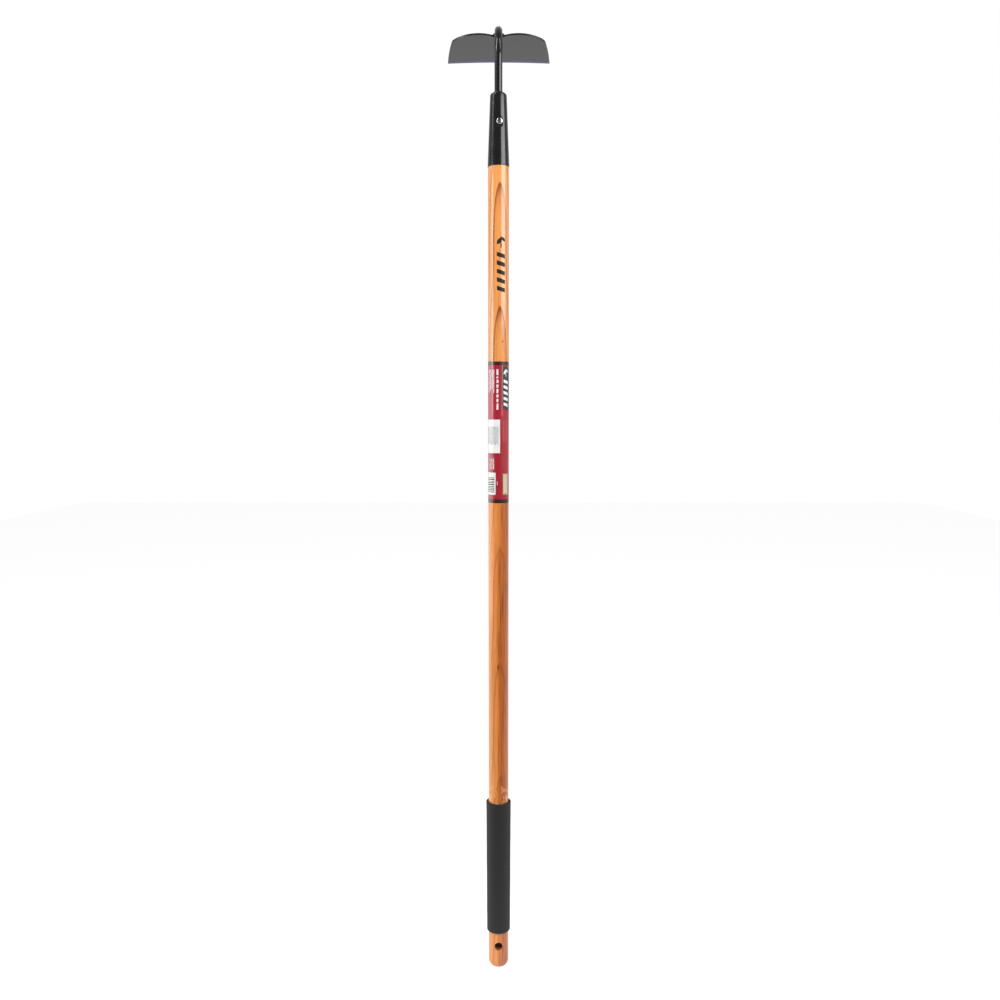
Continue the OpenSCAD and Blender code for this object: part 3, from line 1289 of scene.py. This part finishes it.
@dataclass
class Screw:
    """The zinc cross-recess screw through the socket's wall."""

    turn: float = math.radians(8)
    head_radius: float = 4.75 * MM
    head_height: float = 3.0 * MM
    edge_round: float = 2.0 * MM
    dome: float = 0.28 * MM
    shank_radius: float = 2.4 * MM
    shank_length: float = 21 * MM
    recess_length: float = 5.2 * MM
    recess_width: float = 1.15 * MM
    recess_depth: float = 2.0 * MM
    recess_taper: Point = (0.42, 1.15)
    recess_turn: float = math.radians(20)
    seat: float = 12.59 * MM
    finish: Finish = ZincPlate("zinc_plate", roughness=0.22, metallic=1.0)

    def outline(self) -> list[Point]:
        """Draws the screw's outline.

        Returns:
            Points of radius and height, from its point to the top of its domed head.
        """
        point = [(0, -self.shank_length), (0.3 * MM, -self.shank_length)]
        shank = [(self.shank_radius, -self.shank_length + 2 * self.shank_radius), (self.shank_radius, 0)]
        under = [(self.head_radius - 0.3 * MM, 0), (self.head_radius, 0.3 * MM)]
        rim = arc((self.head_radius - self.edge_round, self.head_height - self.edge_round - 0.25 * MM),
                  self.edge_round, 0, 80, 8)
        crown = [(rim[-1][0] * (1 - t), rim[-1][1] + self.dome * (1 - (1 - t) ** 2))
                 for t in spread(0, 1, 0.25)[1:]]
        return [*point, *shank, *under, *rim, *crown[:-1], (0, crown[-1][1])]

    def recess_cutter(self) -> bpy.types.Object:
        """Makes what presses the cross recess.

        Returns:
            A cross-shaped punch that tapers towards its tip.
        """
        shape = bmesh.new()
        half = self.recess_width / 2
        rings = []
        tip, end = self.head_height - self.recess_depth, self.head_height + 0.5 * MM
        for height, taper in zip((tip, end), self.recess_taper, strict=True):
            far = taper * self.recess_length / 2
            ring = []
            for quarter in range(4):
                turn = Matrix.Rotation(self.recess_turn + quarter * math.pi / 2, 4, "Z")
                wing = ((far, -0.9 * half), (far, 0.9 * half), (half, half))
                ring += [shape.verts.new(turn @ Vector((x, y, height))) for x, y in wing]
            shape.faces.new(ring)
            rings.append(ring)
        skin_rings(shape, rings, False)
        return make_object("recess_cutter", shape)

    def build(self) -> None:
        """Presses the head and seats the screw."""
        screw = lathe("pan_head_screw", self.outline(), 64)
        cut_away(screw, self.recess_cutter(), 28)
        centre = sum(corner.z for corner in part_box("socket_screw")) / 2
        place = Matrix.Translation((0, 0, centre)) @ Matrix.Rotation(self.turn, 4, "Z")
        place = place @ Matrix.Rotation(math.radians(90), 4, "X") @ Matrix.Translation((0, 0, self.seat))
        screw.data.transform(place)
        dress(screw, [self.finish], "zinc_screw", "socket_screw")


@dataclass
class Neck:
    """The round steel bar from the socket's nose over to the blade, with its welds."""

    radius: float = 5.75 * MM
    bend_radius: float = 50 * MM
    bend: float = 100.0
    seat_length: float = 28 * MM
    end_round: float = 1.5 * MM
    segments: int = 64
    ripples: int = 17
    ripple_depth: float = 0.28 * MM
    finish: Finish = NECK_ENAMEL

    def __post_init__(self) -> None:
        """Reads the bar's tail and the top of its bend from the model."""
        low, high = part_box("gooseneck")
        self.tail = low.z
        self.bend_height = high.z - self.bend_radius - self.radius

    def spine(self) -> list[tuple[Vector, float, float]]:
        """The bar's centre line.

        Returns:
            Each ring's centre, its heading in degrees from +Z towards +Y, and its radius.
        """
        rings = [(Vector((0, 0, z)), 0.0, self.radius) for z in spread(self.tail, self.bend_height, 6 * MM)]
        for turn in spread(0, self.bend, 2.5)[1:]:
            angle = math.radians(turn)
            place = Vector((0, self.bend_radius * (1 - math.cos(angle)),
                            self.bend_height + self.bend_radius * math.sin(angle)))
            rings.append((place, turn, self.radius))
        start, heading = rings[-1][0], math.radians(self.bend)
        along = Vector((0, math.sin(heading), math.cos(heading)))
        end = self.seat_length
        seat = spread(0, end - self.end_round, 4 * MM)[1:]
        rings += [(start + along * s, self.bend, self.radius) for s in seat]
        for radius, s in rounded(self.radius, end, self.end_round, 5, True)[1:]:
            rings.append((start + along * s, self.bend, radius))
        return rings

    def bar(self) -> None:
        """Bends the bar."""
        shape = bmesh.new()
        rings = []
        for centre, heading, radius in self.spine():
            angle = math.radians(heading)
            across, out = Vector((1, 0, 0)), Vector((0, -math.cos(angle), math.sin(angle)))
            turns = [math.tau * i / self.segments for i in range(self.segments)]
            rings.append([shape.verts.new(centre + radius * (across * math.sin(t) + out * math.cos(t)))
                          for t in turns])
        for ring, place in ((rings[0], 0), (rings[-1], len(rings))):
            middle = sum((v.co for v in ring), Vector()) / len(ring)
            rings.insert(place, [shape.verts.new(middle)])
        skin_rings(shape, rings, False)
        dress(make_object("bent_neck", shape, 50), [self.finish], "black_steel", "gooseneck")

    def nose_ring(self) -> None:
        """Runs the weld bead round the bar at the socket's nose."""
        low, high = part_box("neck_weld")
        width, height = high.x - self.radius, high.z - low.z
        bulge = [(self.radius + width * math.cos(a) ** 1.2, low.z + height * math.sin(a))
                 for a in spread(math.radians(82), math.radians(8), math.radians(9))]
        curve = [(self.radius, low.z - 0.3 * MM), (self.radius, low.z + height), *bulge,
                 (self.radius + width, low.z - 0.1 * MM)]

        def rippled(place: Vector) -> Vector:
            """Pushes the bead in and out as its ripples pass.

            Args:
                place: A point of the bead.

            Returns:
                Where the point goes.
            """
            turn = math.atan2(place.y, place.x)
            out = Vector((place.x, place.y, 0))
            share = smoothstep(self.radius, high.x, out.length)
            share *= 0.5 + 0.5 * math.sin(turn * self.ripples)
            return place - out.normalized() * self.ripple_depth * share

        ring = lathe("neck_weld_ring", curve, 136, loop=True, shift=rippled, sharp=60)
        dress(ring, [WELD_ENAMEL], "weld_metal", "neck_weld")

    def build(self) -> None:
        """Builds the bar and its ring."""
        self.bar()
        self.nose_ring()


@dataclass
class Blade:
    """The blade: a dished plate with two lobes, rounded corners, bowed sides and a ground bevel."""

    width: float = 158.8 * MM
    height: float = 83.5 * MM
    thickness: float = 3 * MM
    lobe_x: float = 31 * MM
    lobe_radius: float = 50 * MM
    corner_radius: float = 15 * MM
    side_radius: float = 400 * MM
    side_lean: float = 3.8
    dish: float = 1.8 * MM
    bevel: float = 8.5 * MM
    bare_band: float = 11.5 * MM
    edge: float = 0.6 * MM
    seat_height: float = 67.5 * MM
    seat_groove: float = 0.5 * MM
    edge_round: float = 0.1 * MM
    column: float = 3 * MM
    neck: Neck = field(default_factory=Neck)
    finish: Finish = BLADE_ENAMEL
    bevel_finish: Finish = BLADE_BEVEL
    shaded_rim_finish: Finish = SHADED_RIM_ENAMEL

    def place(self) -> Matrix:
        """Finds where the blade stands.

        Returns:
            The blade's own frame: X across, Y up from the cutting edge, Z out of the inner face.
        """
        neck = self.neck
        depth = neck.bend_radius - neck.radius + self.seat_groove - self.thickness
        centre = Matrix.Translation((0, neck.bend_radius, neck.bend_height))
        turn = Matrix.Rotation(math.radians(270 - neck.bend), 4, "X")
        return centre @ turn @ Matrix.Translation((0, -self.seat_height, -depth))

    def half_outline(self) -> list[Point]:
        """Draws the right half of the blade's outline, each arc tangent to the next.

        Returns:
            Points across and up, from the cutting edge to the neck.
        """
        lobe = Vector((self.lobe_x, self.height - self.lobe_radius))
        lean = math.radians(self.side_lean)
        side = Vector((self.width / 2, 0)) - self.side_radius * Vector((math.cos(lean), math.sin(lean)))
        reach, span = self.lobe_radius - self.corner_radius, self.side_radius - self.corner_radius
        to_side = side - lobe
        along = (reach**2 - span**2 + to_side.length_squared) / (2 * to_side.length)
        unit = to_side.normalized()
        corner = lobe + unit * along + math.sqrt(reach**2 - along**2) * Vector((unit.y, -unit.x))

        def heading(v: Vector) -> float:
            """The vector's direction in degrees."""
            return math.degrees(math.atan2(v.y, v.x))

        side_top, lobe_start = heading(corner - side), heading(corner - lobe)
        lobe_stop = math.degrees(math.acos((self.neck.radius - self.lobe_x) / self.lobe_radius))
        return [*arc(side, self.side_radius, self.side_lean, side_top, 14),
                *arc(corner, self.corner_radius, side_top, lobe_start, 20)[1:],
                *arc(lobe, self.lobe_radius, lobe_start, lobe_stop, 48)[1:]]

    def dish_at(self, across: float) -> float:
        """How far the inner face stands forward at a distance across."""
        return self.dish * (2 * across / self.width) ** 2

    def build(self) -> None:
        """Cuts the plate, grinds its bevel, dishes it and coats it."""
        half = self.half_outline()
        shape = flat_polygon([*half, *[(-x, y) for x, y in reversed(half)]])
        slice_at(shape, 0, spread(-self.width / 2, self.width / 2, self.column)[1:-1])
        slice_at(shape, 1, [self.bevel, self.bare_band])
        grown = bmesh.ops.extrude_face_region(shape, geom=list(shape.faces))["geom"]
        inner = {g for g in grown if isinstance(g, bmesh.types.BMVert)}
        for vert in shape.verts:
            ground = max(0.0, 1 - vert.co.y / self.bevel) * (self.thickness - self.edge)
            depth = -ground if vert in inner else -self.thickness
            vert.co.z = depth + self.dish_at(vert.co.x)
        for face in shape.faces:
            count = sum(v in inner for v in face.verts)
            ground = count == len(face.verts) and face.calc_center_median().y < self.bare_band
            # Faces that join both sides are the rim, which takes the painted shade.
            face.material_index = 1 if ground else 2 if 0 < count < len(face.verts) else 0
        blade = make_object("dished_blade", shape, 20)
        soften(blade, self.edge_round, 2, 40)
        blade.matrix_world = self.place()
        dress(blade, [self.finish, self.bevel_finish, self.shaded_rim_finish], "blade_steel", "blade")


@dataclass
class BladeWeld:
    """The two rippled beads that join neck and blade."""

    blade: Blade
    bead_radius: float = 2.9 * MM
    stop: float = 1.4 * MM
    ripple: float = 1.5 * MM
    ripple_depth: float = 0.3 * MM
    segments: int = 40
    finish: Finish = WELD_ENAMEL

    def bead(self, side: int, shape: bmesh.types.BMesh) -> None:
        """Runs one bead along the bar, in the blade's own frame.

        Args:
            side: -1 or 1, the side of the bar.
            shape: The bmesh that the bead joins.
        """
        blade = self.blade
        start = blade.seat_height - blade.neck.seat_length + 4 * MM
        top = blade.height - blade.lobe_radius
        top += math.sqrt(blade.lobe_radius**2 - (blade.lobe_x - blade.neck.radius) ** 2)
        low, high = start - self.bead_radius, top - self.stop + self.bead_radius
        centre = Vector((side * (blade.neck.radius + 0.15 * MM), 0, -blade.thickness - MM))
        rings = [[shape.verts.new(centre + Vector((0, low, 0)))]]
        for y in spread(low, high, 0.25 * MM)[1:-1]:
            ring = []
            for i in range(self.segments):
                turn = math.tau * i / self.segments
                phase = (y - start) / self.ripple + 0.45 * math.cos(2 * turn)
                crest = 1 - (phase % 1.0) ** 1.6
                end = min(1.0, min(y - low, high - y) / self.bead_radius)
                radius = self.bead_radius - self.ripple_depth * (1 - crest)
                radius *= math.sqrt(1 - (1 - end) ** 2)
                off = Vector((radius * math.cos(turn), y, radius * math.sin(turn)))
                ring.append(shape.verts.new(centre + off))
            rings.append(ring)
        rings.append([shape.verts.new(centre + Vector((0, high, 0)))])
        skin_rings(shape, rings, False)

    def build(self) -> None:
        """Runs both beads and coats them."""
        shape = bmesh.new()
        for side in (-1, 1):
            self.bead(side, shape)
        beads = make_object("blade_weld_beads", shape, 70)
        beads.data.transform(self.blade.place())
        dress(beads, [self.finish], "weld_metal", "blade_weld")


# --------------------------------------------------------------------------------------------- the studio


@dataclass(frozen=True)
class Softbox:
    """A soft light panel that stands round the hoe and faces a point on its pole."""

    name: str
    bearing: float
    distance: float
    height: float
    width: float
    tall: float
    radiance: float
    aim: float
    mirrored: bool = True

    def build(self) -> None:
        """Hangs the panel. Bearing 0 is in front of the hoe, and 90 is to its right."""
        turn = math.radians(self.bearing)
        lamp = bpy.data.lights.new(self.name, "AREA")
        lamp.shape = "RECTANGLE"
        lamp.size, lamp.size_y = self.width, self.tall
        lamp.energy = self.radiance * math.pi * self.width * self.tall
        panel = place_in_scene(self.name, lamp)
        panel.location = (self.distance * math.sin(turn), -self.distance * math.cos(turn), self.height)
        towards = Vector((0, 0, self.aim)) - panel.location
        panel.rotation_euler = towards.to_track_quat("-Z", "Y").to_euler()
        panel.visible_camera = False
        panel.visible_glossy = self.mirrored


@dataclass
class Studio:
    """The camera, the pale floor, the white surroundings and the lights."""

    eye_distance: float = 1.495
    eye_height: float = 0.824
    eye_bearing: float = 0.2
    eye_tilt: float = 5.03
    eye_turn: float = 0.086
    focal_mm: float = 36.0
    sensor_mm: float = 36.0
    floor_front: float = 0.35
    floor_reach: float = 8.0
    front_glow: float = 0.1
    back_glow: float = 0.55
    glow_from: Triple = (0.0, 0.9, -0.45)
    glow_range: Point = (-0.45, 0.35)
    lights: tuple[Softbox, ...] = (
        Softbox("right_softbox", 56, 2.4, 1.75, 2.1, 1.2, 7.0, 1.75),
        Softbox("left_strip", -72, 2.2, 1.25, 0.8, 0.9, 5.6, 1.25),
        Softbox("left_high", -78, 2.2, 2.5, 0.5, 1.0, 5.5, 2.5),
        Softbox("left_top", -68, 2.0, 3.4, 0.6, 1.6, 10.0, 1.3),
        Softbox("right_top", 62, 2.0, 3.4, 0.6, 1.6, 8.0, 1.3),
        Softbox("left_wall", -95, 2.6, 0.6, 3.2, 1.5, 1.8, 0.6),
        Softbox("front_key", -12, 2.2, 3.3, 2.4, 1.4, 10.0, 0.6, mirrored=False),
    )

    def camera(self) -> None:
        """Sets the camera a little above the pole's middle, tilted slightly down."""
        data = bpy.data.cameras.new("studio_camera")
        data.lens, data.sensor_width = self.focal_mm, self.sensor_mm
        camera = place_in_scene("studio_camera", data)
        turn = math.radians(self.eye_bearing)
        camera.location = (self.eye_distance * math.sin(turn), -self.eye_distance * math.cos(turn),
                           self.eye_height)
        camera.rotation_euler = (math.radians(90 - self.eye_tilt), 0, turn - math.radians(self.eye_turn))
        bpy.context.scene.camera = camera

    def floor(self) -> None:
        """Lays the pale floor under the butt and away behind the hoe."""
        far, side, level = self.floor_reach, self.floor_reach / 2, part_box("pole")[0].z
        near = -self.floor_front
        shape = flat_polygon([(-side, near), (side, near), (side, far), (-side, far)])
        floor = make_object("studio_floor", shape)
        floor.location.z = level
        floor.data.materials.append(StudioPaper("studio_paper", roughness=0.9).build())

    def surroundings(self) -> None:
        """Sets a white backdrop that lights the hoe from behind and leaves the camera's side dim."""
        world = bpy.data.worlds.new("studio_world")
        bpy.context.scene.world = world
        world.use_nodes = True
        tree = world.node_tree
        seen = add(tree, "LightPath", out="Is Camera Ray")
        heading = add(tree, "TexCoord", out="Generated")
        aim = add(tree, "VectorMath", (heading, self.glow_from), "Value", operation="DOT_PRODUCT")
        glow = add(tree, "MapRange", (aim, *self.glow_range, self.front_glow, self.back_glow),
                   interpolation_type="SMOOTHSTEP")
        strength = add(tree, "Math", (glow, seen), operation="MAXIMUM")
        connect(tree, tree.nodes["Background"], {"Strength": strength, "Color": grey(1.0)})
        bpy.context.scene.view_settings.view_transform = "Standard"

    def build(self) -> None:
        """Builds the whole studio."""
        self.camera()
        self.floor()
        self.surroundings()
        for light in self.lights:
            light.build()


def main() -> None:
    """Builds the studio and the hoe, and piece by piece."""
    logging.basicConfig(level=logging.INFO, format="%(name)s: %(message)s")
    Studio().build()
    blade = Blade()
    handle = (Pole(), PoleMark(), Label(), Grip())
    head = (HoeSocket(), Screw(), blade.neck, blade, BladeWeld(blade))
    for assembly in (*handle, *head):
        assembly.build()


if __name__ == "__main__":
    main()
